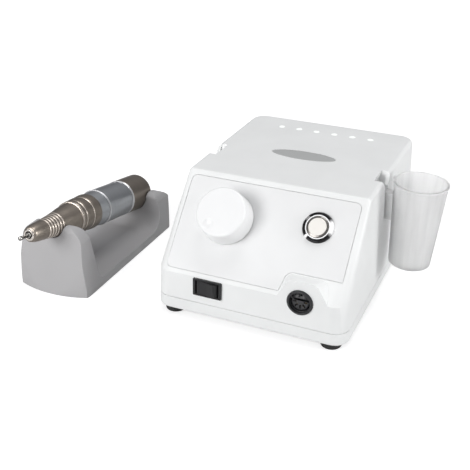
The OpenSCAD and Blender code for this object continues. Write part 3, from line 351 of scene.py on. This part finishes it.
zinc, zinc_shader, zinc_place = finish("zinc", (0.62, 0.61, 0.58), 0.3, 1.0)
feed(zinc_shader, Roughness=0.24 + zinc_place.noise(0.001, 3.0) * 0.16)
low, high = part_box("housing_screws")
head_radius = 0.003
tray_screws = grown(
    "tray_screws",
    {
        "Across": high.x - low.x - 2 * head_radius,
        "Along": high.y - low.y - 2 * head_radius,
        "Length": high.z - low.z,
        "Head Radius": head_radius,
        "Head Height": 0.0022,
        "Shank Radius": 0.0015,
        "Recess Length": 0.0036,
        "Recess Width": 0.0008,
        "Recess Depth": 0.0012,
    },
    screw_set,
    zinc,
)
middle = (low + high) / 2
tray_screws.data.transform(Matrix.Translation((middle.x, middle.y, low.z)))
smooth(tray_screws.data)
settle(tray_screws, zinc, "housing_screws")

# Panel on the slope: a thin flat white inset, smoother than the housing round it,
# let into a shallow recess and glued, so that a fine line shows round its edge.
panel_white = moulded("panel_white", (0.80, 0.805, 0.805), 0.3, grain_depth=0.000004)
refined("control_panel", panel_white, edge=0.00015)

# Rubber feet: four black moulded pads, matt from their mould and a little tapered,
# glued under the tray's corners.
rubber = moulded("foot_rubber", (0.022, 0.022, 0.022), 0.7, 0.0004, 0.00003)
refined("rubber_feet", rubber, edge=0.0004)

# Oval plate: a bare satin-grey plate of brushed metal foil, let into the top face
# and glued flush.
plate_grey, plate_shader, plate_place = finish("plate_grey", (0.49, 0.50, 0.495), 0.42, 0.3)
brushed = plate_place.noise(0.0006, 4.0, (0.02, 1, 1))
feed(
    plate_shader,
    Roughness=0.36 + brushed * 0.14,
    Normal=plate_place.bump(brushed, 0.00001, 0.4),
)
refined("badge_plate", plate_grey, edge=0.0004)

# Indicator windows: six small milky acrylic lenses pushed up through the top from
# inside, held by the flange under each, over their lamps.
lens, lens_shader, lens_place = finish(
    "lens", (0.88, 0.90, 0.88), 0.22, Emission_Color=(0.93, 1.0, 0.95, 1), Emission_Strength=0.3
)
feed(lens_shader, Roughness=0.18 + lens_place.noise(0.0008) * 0.1)
refined("indicator_lenses", lens, edge=0.0003)

# Speed knob: a smooth white moulding with a finger dimple as its pointer,
# pushed on the potentiometer's shaft.
knob_white = moulded("knob_white", (0.86, 0.865, 0.865), 0.34, grain_depth=0.000004)
refined("speed_knob", knob_white, edge=0.0003)

# Push button: a turned rim in dark polished plate with bright reflections painted into its colour
# at fixed angles round it, a white light ring, a dark bevelled plunger and a cream cap, on a
# threaded barrel that a hexagon nut holds behind the panel. Angles round the rim are in radians
# from its right.
polished, polished_shader, polished_place = finish(
    "polished_rim", (0.06, 0.06, 0.062), 0.06, 1.0
)
swirl = polished_place.noise(0.004, 2.0)
low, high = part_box("button_bezel")
from_axis = polished_place.vector("SUBTRACT", polished_place, (low + high) / 2)
panel_lean = math.radians(41.7148)
across = from_axis.vector("DOT_PRODUCT", from_axis, (1, 0, 0), output="Value")
upslope = (0, math.sin(panel_lean), math.cos(panel_lean))
around = from_axis.vector("DOT_PRODUCT", from_axis, upslope, output="Value")
around = around.maths("ARCTAN2", around, across)
# Painted reflections: in three bands at fixed angles round the rim, the colour turns white,
# rougher and not metal.
right_painted_glint = around.stripe(0.13, 1.0)
lower_left_painted_glint = around.stripe(-2.27, 0.2)
faint_painted_glint = around.stripe(2.6, 0.35) * 0.35
painted_glints = around.maths("MAXIMUM", right_painted_glint, lower_left_painted_glint)
painted_glints = around.maths("MAXIMUM", painted_glints, faint_painted_glint)
feed(
    polished_shader,
    Base_Color=painted_glints.mixed((0.035, 0.035, 0.037, 1), (0.95, 0.95, 0.95, 1)),
    Roughness=0.06 + swirl * 0.06 + painted_glints * 0.3,
    Metallic=1 - painted_glints,
)
refined("button_bezel", polished, edge=0.0002)
ring_white, ring_shader, ring_place = finish(
    "light_ring", (0.93, 0.94, 0.95), 0.3, Emission_Color=(1, 1, 1, 1), Emission_Strength=0.15
)
feed(ring_shader, Roughness=0.25 + ring_place.noise(0.001) * 0.1)
refined("button_light_ring", ring_white)
plunger_dark, plunger_shader, plunger_place = finish("plunger_dark", (0.20, 0.19, 0.18), 0.25, 0.9)
turning = plunger_place.noise(0.0004, 3.0)
feed(plunger_shader, Roughness=0.2 + turning * 0.12)
refined("button_plunger", plunger_dark, edge=0.0002)
cap_cream = moulded("cap_cream", (0.86, 0.835, 0.79), 0.33, 0.0003, 0.000005)
refined("button_cap", cap_cream, edge=0.0002)

# Rocker switch: a black nylon frame that snaps into the skirt's opening, and a glossy
# black rocker on two moulded pins.
switch_black = moulded("switch_black", (0.014, 0.014, 0.015), 0.32, 0.0006, 0.000008)
refined("rocker_frame", switch_black, edge=0.0002)
refined("rocker", switch_black, edge=0.0006)

# Round socket: a dark plated shell with a nut behind the wall, and a black moulded
# insert with five slots round its lower half, over gilt contacts.
socket_dark, socket_shader, socket_place = finish("socket_dark", (0.03, 0.03, 0.032), 0.35, 0.2)
wear = socket_place.noise(0.003, 3.0)
feed(socket_shader, Roughness=0.3 + wear * 0.12)
refined("socket_shell", socket_dark, edge=0.0003)
insert_black = moulded("insert_black", (0.045, 0.045, 0.047), 0.5, 0.0005, 0.00001)
refined("socket_insert", insert_black)

# Gland and pedal jack on the back wall: a soft black bush that grips the mains lead,
# and a dark jack held by its hexagon nut.
refined("cord_gland", switch_black, edge=0.0003)
refined("pedal_jack", socket_dark, edge=0.0003)

# Bit cup: clear styrene with drawn upright streaks, a little frosted. One moulding with
# its hook, which drops into the pocket in the unit's side.
cup_clear, cup_shader, cup_place = finish(
    "cup_clear", (0.90, 0.90, 0.90), 0.28, Transmission_Weight=0.74, IOR=1.25
)
streaks = cup_place.noise(0.004, 2.0, (1, 1, 0.05))
feed(
    cup_shader,
    Base_Color=streaks.between(0.3, 0.7).mixed((0.80, 0.80, 0.80, 1), (0.93, 0.93, 0.93, 1)),
    Roughness=0.24 + streaks * 0.14,
    Normal=cup_place.bump(streaks, 0.00008, 0.5),
)
refined("bit_cup", cup_clear, edge=0.0002)

# Cradle: one thick grey moulding with a fine matt grain. It stands loose on the table,
# and the handpiece lies in its two saddles.
cradle_grey = moulded("cradle_grey", (0.43, 0.425, 0.43), 0.55, 0.0005, 0.00002)
refined("cradle", cradle_grey, edge=0.0012)

# Nose, grip and motor case: aluminium turned and anodised in champagne. Fine turning
# lines run round it, and the six grooves and the ribs' front edges are cut bright.
nose_point = Vector((-0.1162466, -0.1038359, 0.0562))
fall = math.radians(10.2)
axis = Vector((0, math.cos(fall), -math.sin(fall)))
handpiece_place = Matrix.Translation(nose_point) @ Matrix.Rotation(
    math.radians(-90) - fall, 4, "X"
)


def turned_metal(name, colour, roughness, line_size=0.0008, line_depth=0.000004, tint=0.04):
    """Turned metal, its lines set by the distance along the handpiece."""
    material, shader, place = finish(name, colour, roughness, 1.0)
    along = place.vector("DOT_PRODUCT", place, axis, output="Value") - nose_point.dot(axis)
    line = triple(along)
    lines = line.noise(line_size, 3.0)
    broad = line.noise(0.004, 2.0)
    dark = tuple(c * (1 - tint) for c in colour)
    body = broad.between(0.35, 0.65).mixed((*dark, 1), (*colour, 1))
    feed(
        shader,
        Base_Color=body,
        Roughness=roughness * 0.94 + lines * (roughness * 0.12),
        Normal=place.bump(lines, line_depth, 0.5),
    )
    return material, shader, along, body


champagne, champagne_shader, along, body = turned_metal("champagne", (0.32, 0.28, 0.24), 0.36)
groove_first, groove_pitch, groove_width, groove_depth = 0.0158, 0.00285, 0.0011, 0.00035
grooves_end = groove_first + 6 * groove_pitch
cut_share = groove_width / groove_pitch
turn = (along - groove_first) * (1 / groove_pitch)
cut = turn.maths("FRACT", turn).stripe(cut_share / 2, cut_share)
cut = cut * along.maths("GREATER_THAN", along, groove_first - 0.0002)
cut = cut * along.maths("LESS_THAN", along, grooves_end - 0.0004)
rib_fronts, rib_line = (0.0509, 0.0521, 0.0562, 0.0655), 0.0005
for rib_front in rib_fronts:
    cut = cut.maths("MAXIMUM", cut, along.stripe(rib_front, rib_line))
cut_colour = (0.86, 0.78, 0.70, 1)
feed(champagne_shader, Base_Color=cut.mixed(body, cut_colour))
bright, *_ = turned_metal("bright_ring", (0.84, 0.84, 0.85), 0.3)
nose_bright, *_ = turned_metal("nose_bright", (0.86, 0.80, 0.74), 0.22)


def lathe(name, outline, material, node, segments=160):
    """A piece turned from a closed outline of (place along, radius), in metres."""
    spin = [math.tau * i / segments for i in range(segments)]
    rings = [(r * math.cos(a), r * math.sin(a), z) for z, r in outline for a in spin]
    faces = []
    for i in range(len(outline)):
        ring, following = i * segments, (i + 1) % len(outline) * segments
        for j in range(segments):
            n = (j + 1) % segments
            faces.append([ring + j, ring + n, following + n, following + j])
    mesh = bpy.data.meshes.new(name)
    mesh.from_pydata(rings, [], faces)
    mesh.transform(handpiece_place)
    smooth(mesh, 40)
    piece = bpy.data.objects.new(name, mesh)
    bpy.context.scene.collection.objects.link(piece)
    settle(piece, material, node)
    return piece


nose_front, nose_length, nose_end = 0.001, 0.0506, 0.0118
wide_bore, middle_bore, tip_bore = 0.0098, 0.0052, 0.0028
wide_bore_end, middle_bore_end = 0.0426, 0.010
nose_steps = 400
stations = (0.02, 0.03, 0.08, 0.16, 0.26, 0.42, 0.56, 0.68, 0.79, 0.9, 1)
radii = (0.356, 0.44, 0.51, 0.565, 0.595, 0.655, 0.72, 0.79, 0.87, 0.94, 1)


def nose_radius(z):
    """The nose's radius, rounded through the stations."""
    t = z / nose_length
    i = max(0, min(len(stations) - 2, sum(1 for s in stations[1:] if s <= t)))
    slopes = []
    for k in (i, i + 1):
        a, b = max(0, k - 1), min(len(stations) - 1, k + 1)
        slopes.append((radii[b] - radii[a]) / (stations[b] - stations[a]))
    wide = stations[i + 1] - stations[i]
    u = max(0.0, min(1.0, (t - stations[i]) / wide))
    start = (2 * u**3 - 3 * u**2 + 1) * radii[i]
    end = (3 * u**2 - 2 * u**3) * radii[i + 1]
    lean_in = (u**3 - 2 * u**2 + u) * wide * slopes[0]
    lean_out = (u**3 - u**2) * wide * slopes[1]
    return nose_end * (start + end + lean_in + lean_out)


nose_outline = []
for i in range(nose_steps + 1):
    z = nose_front + (nose_length - nose_front) * i / nose_steps
    into = (z - groove_first) % groove_pitch / groove_width
    in_groove = groove_first <= z < grooves_end - 0.0005 and into < 1
    sunk = groove_depth * math.sin(math.pi * into) ** 0.5 if in_groove else 0
    nose_outline.append((z, nose_radius(z) - sunk))
nose_outline += [(nose_length, wide_bore), (wide_bore_end, wide_bore)]
nose_outline += [(wide_bore_end, middle_bore), (middle_bore_end, middle_bore)]
nose_outline += [(middle_bore_end, tip_bore), (nose_front, tip_bore)]
lathe("turned_nose", nose_outline, champagne, "nose_cone")
refined("nose_ring", nose_bright, edge=0.0001)
refined("motor_case", champagne, edge=0.0003)
refined("case_rings", bright, edge=0.0001)

# Grip sleeve: one turned tube with a narrow front ring and three swelling ribs, pushed
# over the inner barrel behind the nose.


def ribbed_tube(size):
    """A tube whose outside swells once between each pair of neighbouring rib ends."""
    steps = size["Steps"]
    sheet = steps.node(
        "GeometryNodeMeshGrid",
        {},
        {"Size X": 1.0, "Size Y": 1.0, "Vertices X": 129, "Vertices Y": steps + 3},
    )
    flat = sheet.node("GeometryNodeInputPosition")
    turn = (flat.node("SeparateXYZ", {}, {"Vector": flat}) + 0.5) * math.tau
    row = (flat.node("SeparateXYZ", {}, {"Vector": flat}, output=1) + 0.5) * (steps + 2)
    row = (row + 0.001).maths("FLOOR", row + 0.001)
    row = row.maths("MODULO", row, steps + 2)
    outside = row.maths("LESS_THAN", row, steps - 0.5)
    share = (row / (steps - 1)).between(0.0, 1.0)
    share = outside * share + (1 - outside) * row.maths("LESS_THAN", row, steps + 0.5)
    swell = share * 0
    labels = ("Ring End", "First Rib End", "Second Rib End", "Third Rib End")
    ends = (0.0, *(size[label] for label in labels))
    for start, end in zip(ends, ends[1:]):
        inner = (share - start) / (end - start) * 2 - 1
        inner = inner.maths("ABSOLUTE", inner).between(0.0, 1.0)
        swell = swell + (1 - inner.maths("POWER", inner, 5.0)) * size["Swell"]
    taper = size["Rear Radius"] - size["Front Radius"]
    radius = size["Front Radius"] + share * taper + swell
    radius = outside * radius + (1 - outside) * size["Bore Radius"]
    around = triple(
        radius * turn.maths("COSINE", turn),
        radius * turn.maths("SINE", turn),
        share * size["Length"],
    )
    return sheet.node("GeometryNodeSetPosition", {}, {"Geometry": sheet, "Position": around})


grip = grown(
    "ribbed_grip",
    {
        "Length": 0.0246,
        "Front Radius": nose_end,
        "Rear Radius": 0.01317,
        "Bore Radius": 0.0112,
        "Swell": 0.00068,
        "Ring End": 0.057,
        "First Rib End": 0.22,
        "Second Rib End": 0.6,
        "Third Rib End": 0.985,
        "Steps": 140,
    },
    ribbed_tube,
    champagne,
)
grip.data.transform(handpiece_place @ Matrix.Translation((0, 0, nose_length)))
smooth(grip.data, 50)
settle(grip, champagne, "grip_sleeve")

# Lock sleeve and its rings: silver anodised aluminium, knurl-free and satin, which turns
# on the barrel to open the collet. The trim ring is polished and pressed on.
silver, *_ = turned_metal("silver", (0.52, 0.54, 0.56), 0.3)
refined("lock_sleeve", silver, edge=0.0002)
refined("lock_trim", bright, edge=0.0001)

# Rear cap: a dark plug pressed into the end of the motor case. The handpiece's lead
# plugs into the socket in its middle.
refined("rear_cap", socket_dark, edge=0.0003)

# Collet and bit: hardened steel, ground all over. The collet grips the bit's shank, and
# the bit pulls out forwards when it is open.
tool_steel, *_ = turned_metal("tool_steel", (0.36, 0.35, 0.335), 0.28)
refined("collet", tool_steel)
refined("drill_bit", tool_steel)

# Screws and nuts inside and behind the walls: zinc-plated steel, driven into bosses or
# turned on to the barrels of the switches, the socket and the jack.
for fastener in (
    "indicator_screws",
    "board_screws",
    "transformer_bolts",
    "potentiometer_nut",
    "button_nut",
    "socket_nut",
    "pedal_jack_nut",
):
    refined(fastener, zinc)

# Inside the unit and the handpiece: green boards, black switch bodies, blue capacitors,
# varnished iron, bare copper, gilt contacts, and ground or extruded metal.
board_green = moulded("board_green", (0.03, 0.16, 0.06), 0.4)
lamp_clear = moulded("lamp_clear", (0.80, 0.79, 0.72), 0.2)
case_black = moulded("case_black", (0.05, 0.05, 0.055), 0.45)
can_blue = moulded("can_blue", (0.03, 0.05, 0.18), 0.3)
iron_dark = moulded("iron_dark", (0.10, 0.10, 0.105), 0.5)
carbon = moulded("carbon", (0.03, 0.03, 0.032), 0.6)
amber = moulded("amber", (0.30, 0.16, 0.05), 0.45)
copper, copper_shader, copper_place = finish("copper", (0.72, 0.36, 0.18), 0.3, 1.0)
feed(copper_shader, Roughness=0.24 + copper_place.noise(0.002, 2.0) * 0.16)
brass, brass_shader, brass_place = finish("brass", (0.80, 0.60, 0.26), 0.25, 1.0)
feed(brass_shader, Roughness=0.2 + brass_place.noise(0.002, 2.0) * 0.12)
for material, nodes in (
    (board_green, ("indicator_board", "control_board")),
    (lamp_clear, ("indicator_leds",)),
    (case_black, ("potentiometer", "button_switch")),
    (can_blue, ("board_capacitors",)),
    (iron_dark, ("transformer_core", "magnets")),
    (carbon, ("carbon_brushes",)),
    (amber, ("drive_coupling",)),
    (copper, ("transformer_coil", "armature", "commutator")),
    (brass, ("rocker_terminals", "socket_contacts")),
    (silver, ("heat_sink", "inner_barrel", "potentiometer_shaft")),
    (silver, ("motor_shaft", "spindle", "bearings")),
):
    for node in nodes:
        refined(node, material)

# Table and backdrop: a pale matt floor. The camera sees it lifted to white, still with
# the shadow on it, and every other ray sees it plain.
floor_mesh = bpy.data.meshes.new("floor")
reach = 6.0
floor_mesh.from_pydata(
    [(-reach, -reach, 0), (reach, -reach, 0), (reach, reach, 0), (-reach, reach, 0)],
    [],
    [(0, 1, 2, 3)],
)
floor = bpy.data.objects.new("floor", floor_mesh)
bpy.context.scene.collection.objects.link(floor)
floor_pale, floor_shader, floor_place = finish("floor_pale", (0.62, 0.62, 0.62), 0.9)
feed(floor_shader, Roughness=0.85 + floor_place.noise(0.05) * 0.1)


def seen_directly(tree):
    """1 for the rays that show the background: from the camera or through clear plastic."""
    path = tree.nodes.new("ShaderNodeLightPath")
    camera_ray = Wire(tree, path.outputs["Is Camera Ray"])
    through = Wire(tree, path.outputs["Is Transmission Ray"])
    return camera_ray.maths("MAXIMUM", camera_ray, through)


floor_tree = floor_pale.node_tree
plain = Wire(floor_tree, floor_shader.outputs[0])
far = floor_place.vector("LENGTH", floor_place, output="Value")
glow_start, glow_full = 0.7, 1.8
glow_colour = far.between(glow_start, glow_full).mixed((0.62, 0.62, 0.62, 1), (1, 1, 1, 1))
glow = plain.node("Emission", {}, {"Color": glow_colour, "Strength": 1.0})
lifted = plain.node("AddShader", {}, {0: plain, 1: glow})
direct = seen_directly(floor_tree)
shown = direct.node("MixShader", {}, {0: direct, 1: plain, 2: lifted})
surface = floor_tree.nodes["Material Output"].inputs["Surface"]
floor_tree.links.new(shown.socket, surface)
floor.data.materials.append(floor_pale)
floor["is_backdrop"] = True

# Studio light: a dim room, a broad soft light from the front left that does most of the
# work, a weaker one above, and a low one from the right, which the box keeps off the
# cradle's side. Places and sizes are in metres, powers in watts.
bpy.context.scene.view_settings.view_transform = "Standard"
world = bpy.data.worlds.new("studio")
bpy.context.scene.world = world
world.use_nodes = True
room = world.node_tree
sky = room.nodes["Background"]
seen = seen_directly(room)
glossy = Wire(room, room.nodes.new("ShaderNodeLightPath").outputs["Is Glossy Ray"])
look = Wire(room, room.nodes.new("ShaderNodeTexCoord").outputs["Generated"])
height = look.node("SeparateXYZ", {}, {"Vector": look}, output=2)
mirrored = height.between(0.0, 0.9).mixed((0.10, 0.10, 0.11, 1), (0.58, 0.58, 0.59, 1))
dim = glossy.mixed((0.36, 0.36, 0.37, 1), (0, 0, 0, 1))
room.links.new(mirrored.socket, dim.socket.node.inputs[7])
whole = seen.mixed((0, 0, 0, 1), (1, 1, 1, 1))
room.links.new(dim.socket, whole.socket.node.inputs[6])
room.links.new(whole.socket, sky.inputs["Color"])
sky.inputs["Strength"].default_value = 1.0


def soft_light(name, place, aim, size, power):
    lamp = bpy.data.lights.new(name, "AREA")
    lamp.shape = "DISK"
    lamp.size = size
    lamp.energy = power
    made = bpy.data.objects.new(name, lamp)
    bpy.context.scene.collection.objects.link(made)
    made.location = place
    made.rotation_euler = (Vector(aim) - Vector(place)).to_track_quat("-Z", "Y").to_euler()
    made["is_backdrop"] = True


aim = (0, 0, 0.04)
soft_light("front_light", (-0.55, -1.33, 0.66), aim, size=0.9, power=15.5)
soft_light("top_light", (0.1, 0.35, 1.5), aim, size=0.8, power=6.4)
soft_light("right_light", (1.35, 0.12, 0.42), aim, size=0.6, power=9.4)

# Camera: at the photograph's angle, its place, turn and lens fitted to the box's edges
# and corners in the photograph.
camera = bpy.data.objects.new("camera", bpy.data.cameras.new("camera"))
bpy.context.scene.collection.objects.link(camera)
bpy.context.scene.camera = camera
azimuth, elevation, roll = (math.radians(a) for a in (23.04, 26.92, 0.627))
backward = Vector(
    (
        math.sin(azimuth) * math.cos(elevation),
        -math.cos(azimuth) * math.cos(elevation),
        math.sin(elevation),
    )
)
level = Vector((0, 0, 1)).cross(backward).normalized()
upright = backward.cross(level)
right = level * math.cos(roll) + upright * math.sin(roll)
up = upright * math.cos(roll) - level * math.sin(roll)
frame_turn = Matrix((right, up, backward)).transposed().to_4x4()
camera_place = Vector((0.21731, -0.52440, 0.32093))
camera.matrix_world = Matrix.Translation(camera_place) @ frame_turn
camera.data.sensor_width = 36
camera.data.lens = 64.59
camera.data.clip_start = 0.01

low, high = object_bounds()
